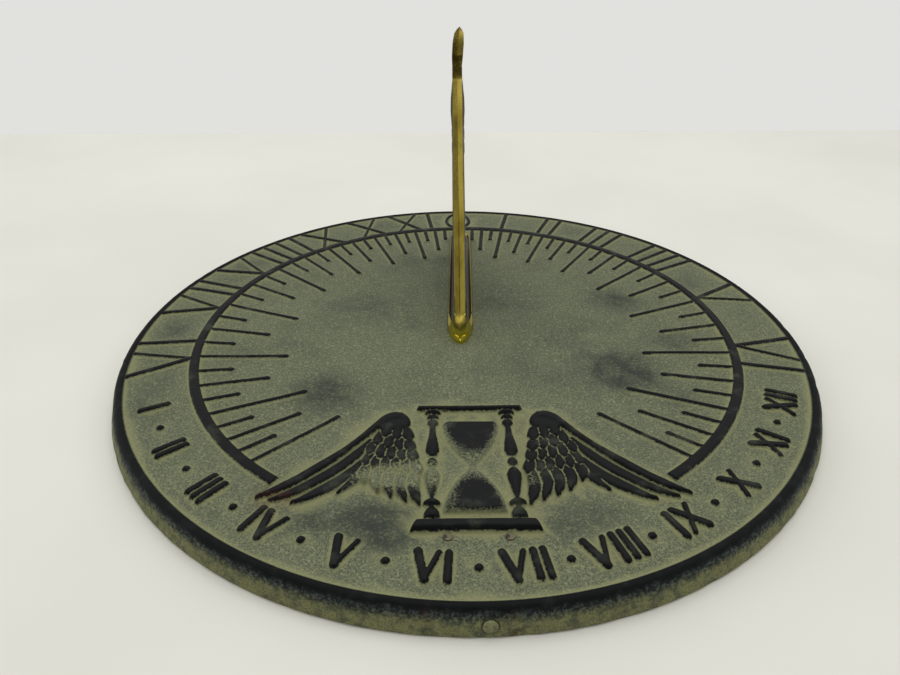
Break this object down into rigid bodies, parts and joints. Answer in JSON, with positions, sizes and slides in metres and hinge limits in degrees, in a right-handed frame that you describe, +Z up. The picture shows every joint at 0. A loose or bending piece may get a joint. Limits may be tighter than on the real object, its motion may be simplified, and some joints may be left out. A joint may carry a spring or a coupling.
{
  "type": "garden sundial",
  "caption": "Round cast-iron horizontal garden sundial with raised hour lines, Roman numerals, a winged hourglass and an upright brass gnomon.",
  "frame": {"origin": "centre of the dial, on the surface that it rests on", "axes": "+Z up, +Y towards the noon numeral, +X towards the afternoon hours"},
  "size_m": [0.26, 0.26, 0.1066],
  "materials": {
    "patinated_iron": "green-grey verdigris wash in the low places, near-black on the raised relief and the rim, slightly pitted",
    "brass": "polished edges, dark antiqued sides",
    "screw_steel": "plain zinc-plated fasteners",
    "rusty_pin": "browned pin ends",
    "painted_plug": "painted over with the plate's green wash"
  },
  "bodies": {
    "root": {"dial_plate": "patinated_iron", "gnomon": "brass", "gnomon_screw_front": "screw_steel", "gnomon_screw_rear": "screw_steel", "lock_washer_front": "screw_steel", "lock_washer_rear": "screw_steel", "face_pin_left": "rusty_pin", "face_pin_right": "rusty_pin", "rim_plug": "painted_plug"}
  },
  "joints": []
}
